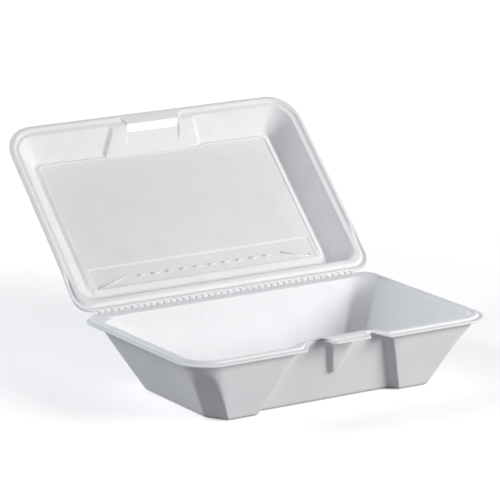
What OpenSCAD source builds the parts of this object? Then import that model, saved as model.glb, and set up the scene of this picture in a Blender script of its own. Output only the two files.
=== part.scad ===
// Foam take-out container: a deep tray and a shallow lid, pressed from one foam sheet and
// folded at a perforated hinge. The origin is the centre of the tray's underside, +Z is up,
// the hinge runs along X at the back and the locking nose points to -Y.

/* [Tray] */
// Length over the tray's lip
tray_l = 237; // [200:1:270]
// From the floor's centre to the front edge of the lip
tray_front = 79.6; // [72:0.2:90]
// Height to the top of the rim's ridge
tray_h = 49; // [42:0.5:60]
// Length of the flat underside
floor_l = 175; // [150:1:190]
// Width of the flat underside
floor_w = 108; // [96:1:116]
// Foam thickness of the tray
tray_t = 3.2; // [2.4:0.1:3.4]
// Radius of the rim's front corners
rim_r = 22; // [18:0.5:28]
// Radius of the corners beside the hinge
hinge_r = 12; // [9:0.5:16]
// Run along X of the flat facet across each wall corner
facet_x = 10; // [6:0.5:14]
// Run along Y of the flat facet across each wall corner
facet_y = 16; // [10:0.5:18]
// Radius of the edge round the underside
foot_r = 2.4; // [1:0.1:3]

/* [Rim] */
// Width of the flat lip outside the ridge
lip_w = 3.2; // [2.4:0.1:4]
// Thickness of the lip
lip_t = 1.6; // [1.2:0.1:2]
// Step from the ridge's top down to the lip
lip_drop = 1.9; // [1.4:0.1:2.4]
// How far the lip stands out past the wall below it
lip_overhang = 4.8; // [4:0.1:6]
// Width of the tray's flange along the hinge
back_flange = 9; // [7:0.5:11]

/* [Front recess] */
// Width of the recess under the rim
recess_top_w = 76; // [66:1:84]
// Width of the recess at the underside
recess_foot_w = 112; // [100:1:120]
// Depth of the recess
recess_d = 10.4; // [7:0.2:12]
// Run along X of the recess's flanks
recess_flank = 7; // [4:0.5:9]

/* [Nose] */
// Width of the locking nose at its tip
nose_w = 28.8; // [20:0.2:32]
// Width of the locking nose at its root
nose_root_w = 38; // [34:0.5:40]
// How far the nose stands out past the lip
nose_reach = 6.2; // [4:0.2:8]
// Thickness of the nose's tip
nose_t = 1.6; // [1.2:0.1:1.8]
// Height of the nose's bar over the groove in front of it
nose_bar = 0.9; // [0.6:0.1:1.2]
// Width of the buttress under the nose at its top
buttress_w = 17; // [12:0.5:22]
// Width of the buttress at its lower end
buttress_foot_w = 3; // [2:0.5:5]
// Length of the buttress down the recess
buttress_l = 25; // [18:0.5:30]
// How far the buttress stands out from the recess
buttress_h = 4.4; // [3:0.2:5.6]

/* [Lid] */
// How far the lid's flange reaches past the tray's lip
lid_over = 1; // [0.6:0.1:1.6]
// Depth of the lid's inside above the hinge line
lid_depth = 14.8; // [12:0.2:18]
// Foam thickness of the lid
lid_t = 2; // [1.8:0.1:2.6]
// Thickness of the lid's outer flange
lid_flange_t = 1.3; // [1:0.1:1.4]
// Length of the lid's inner panel
panel_l = 194; // [180:1:200]
// From the floor's centre to the panel's front edge when closed
panel_front = 59.8; // [52:0.2:61]
// From the floor's centre to the panel's back edge when closed
panel_back = 57.5; // [50:0.5:59]
// Radius of the panel's corners
panel_r = 5; // [4:0.5:12]
// Running gap between the closed lid and the tray
lid_gap = 0.4; // [0.3:0.05:0.6]

/* [Lid boss and slot] */
// Width of the boss at the flange
boss_w = 68; // [58:1:74]
// Width of the boss at the panel
boss_foot_w = 77; // [66:1:84]
// How far the boss stands in from the lid's front wall
boss_d = 2.6; // [1.6:0.2:4]
// Run along X of the boss's flanks
boss_flank = 2.5; // [1.5:0.5:4]
// Width of the slot that takes the nose
slot_w = 42; // [41:0.5:46]
// Width of the flange strip left in front of the slot
strip_w = 8.9; // [8.4:0.1:9.6]
// Rise of the strip and of the nose over it, towards the slot
strip_rise = 1.4; // [0.8:0.1:1.6]
// Height of the slot over the strip
slot_h = 5.6; // [4.6:0.2:6.4]

/* [Hinge] */
// From the floor's centre back to the hinge line
hinge_y = 75.5; // [72:0.5:80]
// Height of the hinge line over the ridge's top
hinge_rise = 1.2; // [1:0.1:1.6]
// Radius of the folded edge at the hinge
fold_r = 1.3; // [1.1:0.1:1.5]
// From the lip's end to the end of the hinge
hinge_in = 12.5; // [8:0.5:24]
// Pitch of the perforations
perf_pitch = 5.5; // [4.5:0.5:8]
// Length of each perforation along the hinge
perf_l = 2.2; // [1.5:0.1:3]
// Opening angle of the lid as it stands
open_angle = 136; // [100:1:160]

/* [Hidden] */
foam = "whitesmoke";
// Segments of each rounded corner
arc_n = 8;
// Sides of the hinge bar and of a perforation's round end
bar_n = 24;
perf_n = 12;
// Extra length that lets a cut pass clean through a face
cut = 1;
// Soft edge of the thin flanges
soft = 0.3;
// Small slope that keeps neighbouring rings apart
ease = 0.1;

hinge_z = tray_h + hinge_rise;
lip_top = tray_h - lip_drop;
lip_z = lip_top - lip_t;
half_l = tray_l/2;
lid_half_l = half_l + lid_over;
lid_front = tray_front + lid_over;
flange_end = hinge_y - lid_gap;
back_in = hinge_y - back_flange;
hinge_l = tray_l - 2*hinge_in;
// Wall thickness measured level, on the walls' mean slope
level_share = 1.13;
wall_t = tray_t*level_share;
// Soft edge on the ridge
ridge_edge = 0.5;
// Room between the lid's strip and the nose
nose_gap = 0.35;
recess_run = (tray_front - lip_overhang - floor_w/2)/lip_z;
nose_tip_y = -(tray_front + nose_reach);
nose_under = lip_top + lid_gap + lid_flange_t + nose_gap;
nose_top = nose_under + strip_rise + nose_t;
nose_root_y = -(floor_w/2 - recess_d + recess_run*lip_z) + wall_t;
strip_y = -(lid_front - strip_w);

function mix(a, b, f) = a + (b - a)*f;
function mirrored(p) = [-p[0], p[1], p[2]];

// Rounded corner from the front or back edge to the side: a straight facet where bulge is 0
// and a quarter ellipse where it is 1. end is [x, y] of the sharp corner, dir is -1 in front.
function corner(end, run, dir, bulge, z) = [
    for (i = [0 : arc_n])
        let (a = 90*i/arc_n, f = i/arc_n)
        [end[0] - run[0] + run[0]*mix(f, sin(a), bulge),
         end[1] - dir*run[1]*mix(f, 1 - cos(a), bulge), z]
];

// One closed level ring round the container, from the middle of the front.
// h: half length, yf and yb: front and back, cf and cb: corner runs, bulge: corner form,
// fl: [half width, y] of the recessed front panel, wl: half width where its flanks end,
// z: height, zb: height along the back.
function ring(h, yf, yb, cf, cb, bulge, fl, wl, z, zb) =
    let (
        front = [[0, fl[1], z], [fl[0], fl[1], z], [wl, yf, z]],
        fc = corner([h, yf], cf, -1, bulge, z),
        bc = corner([h, yb], cb, 1, bulge, zb),
        y0 = yf + cf[1],
        y1 = yb - cb[1],
        side = [[h, mix(y0, y1, rise_from), z], [h, mix(y0, y1, rise_to), zb]],
        back = [for (i = [arc_n : -1 : 0]) bc[i]],
        half = concat(front, fc, side, back),
        left = [for (i = [len(half) - 1 : -1 : 1]) mirrored(half[i])]
    )
    concat(half, [[0, yb, zb]], left);

// Shares of the straight side where the lid's flange starts and ends its rise to the hinge
rise_from = 0.82;
rise_to = 0.93;

// Closed solid through rings of equal length, from the first ring's face to the last one's.
module skin(rings) {
    n = len(rings[0]);
    m = len(rings);
    sides = [
        for (j = [0 : m - 2], i = [0 : n - 1])
            let (a = j*n + i, b = j*n + (i + 1)%n)
            each [[a, a + n, b], [b, a + n, b + n]]
    ];
    caps = [[for (i = [0 : n - 1]) i], [for (i = [n - 1 : -1 : 0]) (m - 1)*n + i]];
    polyhedron([for (r = rings) each r], concat(sides, caps));
}

// Tray wall at a height: half length, front, back
function wall_x(z) = mix(floor_l/2, half_l - lip_overhang, z/lip_z);
function wall_f(z) = mix(floor_w/2, tray_front - lip_overhang, z/lip_z);
function wall_b(z) = mix(floor_w/2, back_in + wall_t, z/lip_z);
function recess_y(z) = -(floor_w/2 - recess_d + recess_run*z);
function recess_half(z) = mix(recess_foot_w, recess_top_w, z/lip_z)/2;

// Ring on the tray's wall at height z, moved in by d, with corner runs c and form bulge
function wall_ring(z, d, c, bulge) = ring(
    wall_x(z) - d, d - wall_f(z), wall_b(z) - d, c - [d, d]/2, c - [d, d]/2, bulge,
    [recess_half(z) - recess_flank + d, recess_y(z) + d], recess_half(z) + d/2, z, z);

// Ring on the tray's rim: d in from the lip's edge, back at yb, recessed panel at fy
function rim_ring(d, yb, z, fy) = ring(
    half_l - d, d - tray_front, yb, [rim_r, rim_r] - [d, d]/2, [hinge_r, hinge_r] - [d, d]/2, 1,
    [recess_top_w/2 - recess_flank + d/2, fy], recess_top_w/2 - 1 + d/2, z, z);

facet = [facet_x, facet_y];
round_top = [rim_r, rim_r] - [lip_overhang, lip_overhang]/2;
// Height where the facets give way to round corners, and where these are complete
facet_z = lip_z*0.76;
round_z = lip_z*0.93;
arch_z = (facet_z + round_z)/2;
// Corner runs and forms on the way from the facet to the round corner
arch_run = mix(facet, round_top, 0.35);
arch_form = 0.5;
round_run = mix(facet, round_top, 0.8);
round_form = 0.9;
// Middle of the rounded edge round the underside, as a share of its radius
foot_mid = foot_r*0.3;
// Bead along the recess's upper edge
recess_bead = 0.8;
panel_lip = recess_y(lip_z) - recess_bead;
// Inner edge of the ridge: from the lip's edge, and on the recess
ridge_back = 1.1;
ridge_in = lip_overhang + wall_t - ridge_back;
ridge_recess = recess_y(lip_z) + wall_t - ridge_back;

tray_outer = [
    wall_ring(0, foot_r, facet, 0),
    wall_ring(foot_mid, foot_mid, facet, 0),
    wall_ring(foot_r, 0, facet, 0),
    wall_ring(facet_z, 0, facet, 0),
    wall_ring(arch_z, 0, arch_run, arch_form),
    wall_ring(round_z, 0, round_run, round_form),
    wall_ring(lip_z - ease, 0, round_top, 1)
];
tray_rim = [
    rim_ring(soft, flange_end - 2*soft, lip_z, panel_lip + 2*ease),
    rim_ring(0, flange_end - soft, lip_z + soft, panel_lip),
    rim_ring(0, flange_end - ease, lip_top - soft, panel_lip),
    rim_ring(soft, flange_end, lip_top, panel_lip + ease),
    rim_ring(lip_w, flange_end - ease, lip_top + ease, panel_lip + 2*ease),
    rim_ring(lip_w + 2*ease, flange_end - 2*ease, tray_h - ridge_edge, panel_lip + soft),
    rim_ring(lip_w + ridge_edge, flange_end - 4*ease, tray_h, panel_lip + recess_bead),
    rim_ring(ridge_in - ridge_edge, back_in - recess_bead, tray_h, ridge_recess - ridge_edge),
    rim_ring(ridge_in, back_in, tray_h - ridge_edge, ridge_recess - ease)
];
tray_inner = [
    wall_ring(lip_z, wall_t, round_top, 1),
    wall_ring(round_z, wall_t, round_run, round_form),
    wall_ring(arch_z, wall_t, arch_run, arch_form),
    wall_ring(facet_z, wall_t, facet, 0),
    wall_ring(tray_t + foot_r, wall_t, facet, 0),
    wall_ring(tray_t + foot_mid, wall_t + foot_mid, facet, 0),
    wall_ring(tray_t, wall_t + foot_r, facet, 0)
];

// Lengths along the nose: behind the strip, its bar, and its tip's bead and bevel
shank_l = 4;
shank_front_l = 1.2;
bar_l = 5.7;
bar_slope = 1.2;
bead_l = 1.4;
bead_slope = 1;
tip_bevel = 1.5;
// Stations of the locking nose from root to tip: [y, underside, top, half width]
nose_slope = (nose_root_w - nose_w)/2/(nose_root_y - nose_tip_y);
function nose_half(y) = nose_w/2 + nose_slope*(y - nose_tip_y);
shank_y = strip_y + lid_gap;
function nose_low(y) = nose_under + strip_rise*(y - nose_tip_y)/(shank_y - nose_tip_y);
bar_y = strip_y - bar_l;
groove_y = bar_y - bar_slope;
bead_y = nose_tip_y + bead_l;
bead_back = bead_y + bead_slope;
tip_z = nose_under + nose_t;
nose_stations = [
    [nose_root_y, lip_z - cut, tray_h - ridge_edge, nose_half(nose_root_y)],
    [strip_y + shank_l, lip_z, tray_h + cut, nose_half(strip_y + shank_l)],
    [strip_y + shank_front_l, lip_z + cut, nose_top - soft, nose_half(strip_y + shank_front_l)],
    [shank_y, nose_low(shank_y), nose_top, nose_half(shank_y)],
    [bar_y, nose_low(bar_y), nose_low(bar_y) + nose_t, nose_half(bar_y)],
    [groove_y, nose_low(groove_y), nose_low(groove_y) + nose_t - nose_bar, nose_half(groove_y)],
    [bead_back, nose_low(bead_back), tip_z - nose_bar/2, nose_half(bead_back)],
    [bead_y, nose_low(bead_y), tip_z, nose_half(nose_tip_y)],
    [nose_tip_y, nose_under + soft, tip_z - soft, nose_w/2 - tip_bevel]
];

// Thin upright slice of the nose at one station
module nose_slice(st) {
    slice = 0.02;
    translate([-st[3], st[0], st[1]]) cube([2*st[3], slice, st[2] - st[1]]);
}

module nose() {
    for (i = [0 : len(nose_stations) - 2])
        hull() {
            nose_slice(nose_stations[i]);
            nose_slice(nose_stations[i + 1]);
        }
}

// Tapered rib under the nose, lying on the sloping recess, with flanks that lean in
module buttress() {
    slope = atan(recess_run);
    sunk = 1;
    lean = 1.6;
    end = 0.5;
    foot_h = buttress_h*0.7;
    foot_w = buttress_foot_w;
    translate([0, recess_y(lip_z), lip_z])
        rotate([90 - slope, 0, 0])
            hull() {
                translate([-buttress_w/2 - lean, 0, -sunk]) cube([buttress_w + 2*lean, end, sunk]);
                translate([-buttress_w/2, 0, 0]) cube([buttress_w, end, buttress_h]);
                translate([-foot_w/2, -buttress_l, -sunk]) cube([foot_w, end, sunk + foot_h]);
            }
}

// Round bar along the hinge line
module hinge_bar(r, l) {
    translate([0, hinge_y, hinge_z])
        rotate([0, 90, 0]) cylinder(h = l, r = r, center = true, $fn = bar_n);
}

module tray() {
    color(foam)
        difference() {
            union() {
                skin(concat(tray_outer, tray_rim, tray_inner));
                nose();
                buttress();
            }
            hinge_bar(fold_r + lid_gap, tray_l);
        }
}

// Ring on the closed lid: d in from the flange's edge, back at yb, heights z and zb
function lid_ring(d, yb, z, zb, r) = ring(
    lid_half_l - d, d - lid_front, yb, [r, r], [hinge_r, hinge_r] - [d, d]/3, 1,
    [boss_w/2 - boss_flank, d - lid_front], boss_w/2, z, zb);

// Ring on the closed lid's wall with the boss: half length h, front yf, back yb
function lid_wall_ring(h, yf, yb, z, r, half, deep) = ring(
    h, yf, yb, [r, r], [r, r]*0.7, 1, [half - boss_flank, yf + deep], half, z, z);

seat_z = lip_top + lid_gap;
ledge_z = tray_h + lid_gap;
back_z = ledge_z - ease/2;
panel_z = hinge_z + lid_depth;
riser_d = lid_over + lip_w - lid_gap;
// Width that the ledge stands in front of the wall's inner edge
ledge_set = 0.9;
ledge_d = lid_over + lip_overhang + wall_t - ledge_set;
lid_r = rim_r + lid_over;
riser_r = rim_r - (riser_d - lid_over)/2;
wall_r = lid_r - ledge_d;
lid_back = back_in - ridge_edge;
// Rise of the lid's outer skin over its inner one on the sloping wall
skin_d = lid_t*0.75;
// Rounded edge between panel and wall: its run on the panel, on the wall and on the back wall,
// and its drop from the panel
round_d = 3;
edge_d = 1;
edge_back = 1;
edge_z = 1.2;
edge_r = panel_r + edge_d;
// Depth of the boss where it fades out on the panel, at the panel's edge and on the wall
boss_fade = boss_d*0.4;
boss_edge = boss_d*0.8;
boss_foot = boss_foot_w/2;
boss_out = boss_foot - skin_d;
half_p = panel_l/2;
flange_z = seat_z + lid_flange_t;
ledge_top = ledge_z + lid_t;
back_top = back_z + lid_t;
// Foam thickness that the riser keeps, and the soft edge over it
riser_t = 1.6;
riser_edge = 0.4;

lid_inner = [
    lid_wall_ring(half_p - round_d, round_d - panel_front, panel_back - round_d,
                  panel_z, panel_r, boss_foot, boss_fade),
    lid_wall_ring(half_p, -panel_front, panel_back,
                  panel_z - soft, panel_r, boss_foot, boss_edge),
    lid_wall_ring(half_p + edge_d, -panel_front - edge_d, panel_back + edge_back,
                  panel_z - edge_z, edge_r, boss_foot, boss_d),
    lid_wall_ring(lid_half_l - ledge_d, ledge_d - lid_front, lid_back,
                  ledge_z + ledge_set, wall_r, boss_w/2, boss_d),
    lid_ring(ledge_d - ledge_set, lid_back + edge_back, ledge_z + ease/2, ledge_z, wall_r + ledge_set),
    lid_ring(riser_d + ridge_edge, flange_end - 4*soft, ledge_z, back_z, riser_r - 2*ease),
    lid_ring(riser_d, flange_end - 3*soft, seat_z + ease, back_z, riser_r),
    lid_ring(soft, flange_end - 2*ease, seat_z, back_z, lid_r)
];
lid_outer = [
    lid_ring(0, flange_end - ease, seat_z + soft, back_z + soft, lid_r),
    lid_ring(0, flange_end, flange_z - soft, mix(back_z, back_top, 0.5), lid_r),
    lid_ring(soft, flange_end - ease, flange_z, back_top - soft, lid_r),
    lid_ring(riser_d - riser_t, flange_end - 2*soft, flange_z + ease, back_top - ease, lid_r - 1),
    lid_ring(riser_d - riser_t + riser_edge, flange_end - 3*soft, ledge_top - riser_edge, back_top,
             lid_r - riser_t + soft),
    lid_ring(riser_d - riser_t + 2*riser_edge, flange_end - riser_t, ledge_top, back_top + ease,
             lid_r - riser_t),
    lid_ring(ledge_d - lid_t - riser_edge, lid_back + lid_t + 2*soft, ledge_top + ease,
             ledge_top + 2*ease, wall_r + lid_t),
    lid_wall_ring(lid_half_l - ledge_d + skin_d, ledge_d - skin_d - lid_front, lid_back + skin_d,
                  ledge_top + soft, wall_r + 1, boss_w/2 - skin_d, boss_d),
    lid_wall_ring(half_p + edge_d + skin_d, -panel_front - edge_d - skin_d,
                  panel_back + edge_back + skin_d, panel_z - edge_z + skin_d,
                  edge_r + 1, boss_out, boss_d),
    lid_wall_ring(half_p + skin_d, -panel_front - skin_d, panel_back + skin_d,
                  panel_z + lid_t - ridge_edge, panel_r + 1, boss_out, boss_edge),
    lid_wall_ring(half_p - round_d, round_d - panel_front, panel_back - round_d,
                  panel_z + lid_t, panel_r, boss_out, boss_fade)
];

// Strip in front of the slot: it slopes up from the flange's edge and runs into the rim
module strip() {
    end_w = 2;
    wide = slot_w + 2*end_w;
    hull() {
        translate([-wide/2, -lid_front, seat_z]) cube([wide, soft, lid_flange_t]);
        translate([-wide/2, strip_y - soft, seat_z + strip_rise]) cube([wide, soft, lid_flange_t]);
    }
}

// Slot for the nose: the rim and the lower part of the boss are left out over the strip
module slot() {
    under = seat_z - cut;
    over = flange_z + strip_rise + slot_h;
    translate([-slot_w/2, -lid_front - cut, under])
        cube([slot_w, lid_front + cut - panel_front, over - under]);
}

// Row of round-ended cuts across the fold, which leaves the webs that bend
module perforations() {
    count = floor((hinge_l - perf_l)/perf_pitch);
    reach = fold_r + 2*ease;
    deep = 4*fold_r;
    for (i = [0 : count])
        translate([(i - count/2)*perf_pitch, hinge_y, hinge_z - deep/2])
            hull() {
                translate([0, perf_l/2 - reach, 0]) cylinder(h = deep, d = perf_l, $fn = perf_n);
                translate([-perf_l/2, reach, 0]) cube([perf_l, cut, deep]);
            }
}

module closed_lid() {
    difference() {
        union() {
            difference() {
                skin(concat(lid_inner, lid_outer));
                slot();
            }
            strip();
            hinge_bar(fold_r, hinge_l);
        }
        perforations();
    }
}

module lid() {
    color(foam)
        translate([0, hinge_y, hinge_z])
            rotate([-open_angle, 0, 0])
                translate([0, -hinge_y, -hinge_z]) closed_lid();
}

tray();
lid();
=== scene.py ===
"""Foam hinged lid container: the dressed tray, lid and perforated fold."""

import logging
import math
from dataclasses import dataclass
from enum import Enum
from typing import Callable

import bmesh
import bpy
import numpy as np
from mathutils import Matrix, Vector


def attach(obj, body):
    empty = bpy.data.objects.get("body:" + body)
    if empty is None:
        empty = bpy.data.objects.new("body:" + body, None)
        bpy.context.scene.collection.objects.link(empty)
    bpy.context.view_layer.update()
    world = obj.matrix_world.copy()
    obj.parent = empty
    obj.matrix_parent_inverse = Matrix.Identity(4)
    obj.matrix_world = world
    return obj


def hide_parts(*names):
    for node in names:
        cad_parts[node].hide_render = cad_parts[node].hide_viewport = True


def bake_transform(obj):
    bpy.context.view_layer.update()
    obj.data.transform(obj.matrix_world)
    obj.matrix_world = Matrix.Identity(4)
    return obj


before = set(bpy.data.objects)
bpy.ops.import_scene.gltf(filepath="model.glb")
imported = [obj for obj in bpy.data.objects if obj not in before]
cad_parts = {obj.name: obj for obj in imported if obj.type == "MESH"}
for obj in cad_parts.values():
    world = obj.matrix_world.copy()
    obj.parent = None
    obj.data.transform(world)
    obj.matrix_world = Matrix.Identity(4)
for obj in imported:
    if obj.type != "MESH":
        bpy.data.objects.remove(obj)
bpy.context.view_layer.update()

logging.basicConfig(level=logging.INFO, format="%(message)s")
LOG = logging.getLogger("foam_container")

MM = 0.001
Points = np.ndarray
Face = tuple[int, ...]
Piece = bpy.types.Object
Finish = bpy.types.Material


class Body(str, Enum):
    """Bodies of the container that pieces ride on."""

    TRAY = "tray"
    LID = "lid"


def mix(a: float, b: float, share: float) -> float:
    """Return the value a share of the way from a to b."""
    return a + (b - a) * share


def smooth(share: float) -> float:
    """Return a share eased at both ends and held between 0 and 1."""
    held = min(1.0, max(0.0, share))
    return held * held * (3.0 - 2.0 * held)


def linear_rgba(hex_colour: str) -> tuple[float, float, float, float]:
    """Turn an sRGB hex colour into linear RGBA.

    Args:
        hex_colour: Six hex digits with or without a leading hash.

    Returns:
        Linear red, green and blue with an alpha of 1.
    """
    digits = hex_colour.lstrip("#")
    values = [int(digits[i : i + 2], 16) / 255.0 for i in (0, 2, 4)]
    red, green, blue = (v / 12.92 if v <= 0.04045 else ((v + 0.055) / 1.055) ** 2.4 for v in values)
    return (red, green, blue, 1.0)


def add_node(tree: bpy.types.NodeTree, kind: str, inputs: dict | None = None, **settings: object) -> bpy.types.Node:
    """Add one node with its settings, values and links.

    Args:
        tree: Node tree that takes the node.
        kind: Blender's identifier of the node type.
        inputs: Input socket name or number to a value or an output socket to link from.
        settings: Attributes to set on the node.

    Returns:
        The new node.
    """
    node = tree.nodes.new(kind)
    for name, value in settings.items():
        setattr(node, name, value)
    for key, value in (inputs or {}).items():
        socket = node.inputs[key]
        if isinstance(value, bpy.types.NodeSocket):
            tree.links.new(value, socket)
        else:
            socket.default_value = value
    return node


def empty_tree(holder: Finish | bpy.types.World) -> bpy.types.NodeTree:
    """Switch on the nodes of a material or the surround and return their emptied tree.

    Args:
        holder: What carries the nodes.

    Returns:
        The tree without nodes.
    """
    holder.use_nodes = True
    holder.node_tree.nodes.clear()
    return holder.node_tree


@dataclass(frozen=True)
class FoamFinish:
    """Extruded polystyrene foam, heat pressed: matte white skin over fine closed cells.

    The skin is dull with a very fine leathery grain, a little uneven in tone where the sheet
    was stretched, and soft at its edges because light enters the cells.
    """

    name: str = "pressed_polystyrene_foam"
    light: str = "f5f5f6"
    dark: str = "eeeff0"
    roughness: float = 0.6
    roughness_span: tuple[float, float] = (-0.06, 0.08)
    cell_mm: float = 0.8
    grain_to_cell: float = 1.7
    grain_share: float = 0.65
    stretch_mm: float = 26.0
    tone_span: tuple[float, float] = (0.7, 1.0)
    bump_mm: float = 0.03
    bump_strength: float = 0.5
    sheen: float = 0.3
    glow: float = 0.1
    glow_depth: float = 0.0015

    def build(self) -> Finish:
        """Build the foam's node material.

        Returns:
            The finished material.
        """
        material = bpy.data.materials.new(self.name)
        tree = empty_tree(material)
        place = add_node(tree, "ShaderNodeTexCoord").outputs["Object"]
        # The real cells are about 0.3 mm across; they are drawn coarser so that the grain shows at all
        cells = add_node(
            tree, "ShaderNodeTexVoronoi",
            {"Vector": place, "Scale": 1.0 / (self.cell_mm * MM), "Randomness": 1.0}, feature="SMOOTH_F1")
        grain = add_node(
            tree, "ShaderNodeTexNoise",
            {"Vector": place, "Scale": 1.0 / (self.cell_mm * self.grain_to_cell * MM),
             "Detail": 3.0, "Roughness": 0.62})
        sheet = add_node(
            tree, "ShaderNodeTexNoise",
            {"Vector": place, "Scale": 1.0 / (self.stretch_mm * MM), "Detail": 2.0, "Roughness": 0.5})
        skin = add_node(
            tree, "ShaderNodeMath",
            {0: grain.outputs["Fac"], 1: self.grain_share, 2: cells.outputs["Distance"]}, operation="MULTIPLY_ADD")
        fleck = add_node(
            tree, "ShaderNodeMath", {0: grain.outputs["Fac"], 1: sheet.outputs["Fac"]}, operation="ADD")
        ramp = add_node(tree, "ShaderNodeValToRGB", {"Fac": fleck.outputs[0]})
        for stop, spot, colour in zip(ramp.color_ramp.elements, self.tone_span, (self.dark, self.light)):
            stop.position = spot
            stop.color = linear_rgba(colour)
        gloss = add_node(
            tree, "ShaderNodeMapRange",
            {"Value": grain.outputs["Fac"], "From Min": 0.3, "From Max": 0.7,
             "To Min": self.roughness + self.roughness_span[0],
             "To Max": self.roughness + self.roughness_span[1]})
        bump = add_node(
            tree, "ShaderNodeBump",
            {"Height": skin.outputs[0], "Strength": self.bump_strength, "Distance": self.bump_mm * MM})
        shader = add_node(
            tree, "ShaderNodeBsdfPrincipled",
            {"Base Color": ramp.outputs["Color"], "Roughness": gloss.outputs["Result"],
             "Normal": bump.outputs["Normal"], "IOR": 1.4, "Specular IOR Level": self.sheen,
             "Subsurface Weight": self.glow, "Subsurface Radius": (1.0, 1.0, 1.0),
             "Subsurface Scale": self.glow_depth})
        add_node(tree, "ShaderNodeOutputMaterial", {"Surface": shader.outputs["BSDF"]})
        return material


@dataclass(frozen=True)
class StageFinish:
    """Matte paper floor: white to the camera with the object's shadow, and greyer as a reflector.

    Attributes:
        name: Name of the material.
        seen: Colour under camera rays.
        bounced: Colour under all other rays.
        lift_near: Brightness added under camera rays round the object, low enough to keep its shadow.
        lift_far: Brightness added where the lamps fall off.
        reach: Distances from the object, in metres, between which the one turns into the other.
    """

    name: str = "white_stage"
    seen: str = "e6e6e6"
    bounced: str = "a8a8aa"
    lift_near: float = 0.5
    lift_far: float = 0.88
    reach: tuple[float, float] = (0.25, 0.9)

    def build(self) -> Finish:
        """Build the floor's node material.

        Returns:
            The finished material.
        """
        material = bpy.data.materials.new(self.name)
        tree = empty_tree(material)
        direct = add_node(tree, "ShaderNodeLightPath").outputs["Is Camera Ray"]
        tone = add_node(tree, "ShaderNodeMix", {"Factor": direct}, data_type="RGBA")
        tone.inputs[6].default_value = linear_rgba(self.bounced)
        tone.inputs[7].default_value = linear_rgba(self.seen)
        place = add_node(tree, "ShaderNodeTexCoord").outputs["Object"]
        away = add_node(tree, "ShaderNodeVectorMath", {0: place}, operation="LENGTH")
        lift = add_node(
            tree, "ShaderNodeMapRange",
            {"Value": away.outputs["Value"], "From Min": self.reach[0], "From Max": self.reach[1],
             "To Min": self.lift_near, "To Max": self.lift_far}, interpolation_type="SMOOTHSTEP")
        shine = add_node(tree, "ShaderNodeMath", {0: direct, 1: lift.outputs["Result"]}, operation="MULTIPLY")
        paper = add_node(
            tree, "ShaderNodeBsdfPrincipled",
            {"Base Color": tone.outputs[2], "Roughness": 0.9, "Specular IOR Level": 0.0,
             "Emission Color": (1.0, 1.0, 1.0, 1.0), "Emission Strength": shine.outputs[0]})
        add_node(tree, "ShaderNodeOutputMaterial", {"Surface": paper.outputs["BSDF"]})
        return material


@dataclass
class Station:
    """One level ring round the container, with its own front features.

    Attributes:
        half: Half length along X.
        front: Y of the plain front edge.
        back: Y of the back edge.
        run_front: Corner runs along X and Y in front.
        run_back: Corner runs along X and Y at the back.
        facet: Half angle of the flat facet cut across each corner, in degrees.
        z: Height in front and along the sides.
        z_back: Height along the back.
        knots: X, Y and Z of the front's feature edges, from the middle outwards.
        rise: Shares of each side between which its height turns into the back's.
    """

    half: float
    front: float
    back: float
    run_front: tuple[float, float]
    run_back: tuple[float, float]
    facet: float
    z: float
    z_back: float
    knots: list[tuple[float, float, float]]
    rise: tuple[float, float] = (0.79, 0.95)


# Where a ring's points lie: shares of the front's stretches between knots, of a side and of half the back
FRONT_SHARES = (
    (0.0, 0.3, 0.6, 0.85, 0.96),
    (0.0, 0.22, 0.5, 0.78),
    (0.0, 0.3, 0.7),
    (0.0, 0.06, 0.2, 0.5, 0.8, 0.94),
    (0.0, 0.16, 0.5, 0.84),
    (0.0, 0.025, 0.08, 0.22, 0.42, 0.62, 0.82, 0.95),
)
SIDE_SHARES = (0.0, 0.03, 0.1, 0.25, 0.42, 0.58, 0.7, 0.79, 0.83, 0.87, 0.91, 0.95, 0.985)
BACK_SHARES = (0.0, 0.03, 0.1, 0.2, 0.3, 0.4, 0.5, 0.6, 0.7, 0.8, 0.9)
# A corner's points on each arc and on the flat between them, and where the lid's sides rise to its back
CORNER_ARC = 3
CORNER_FLAT = 6
CORNER_RISE = (0.965, 1.0)
# Half angles of the corner facets, in degrees: at the foot, under the arch, and the least that is a full flat
FACET_FULL = 41.0
FACET_TOP = 27.0
FACET_LEAST = 20.0
# Sizes of the rings on the flats, heights of the tray's rings outside and inside, and steps of its rounded foot
FLAT_SHARES = (0.12, 0.4, 0.7, 0.9)
OUTER_LEVELS = (3.4, 8.0, 13.0, 17.5, 20.0, 21.6, 22.6, 23.6, 25.0, 27.5, 29.8, 31.4, 33.0, 34.6, 35.8, 36.7, 37.2,
                38.2, 40.5, 43.0, 44.6)
INNER_LEVELS = (47.2, 46.0, 43.4, 40.5, 38.2, 37.2, 36.7, 35.8, 34.6, 33.0, 31.4, 29.8, 26.0, 20.0, 14.0, 9.0, 6.6)
ARC_STEPS = (0.0, 30.0, 60.0, 90.0)


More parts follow.
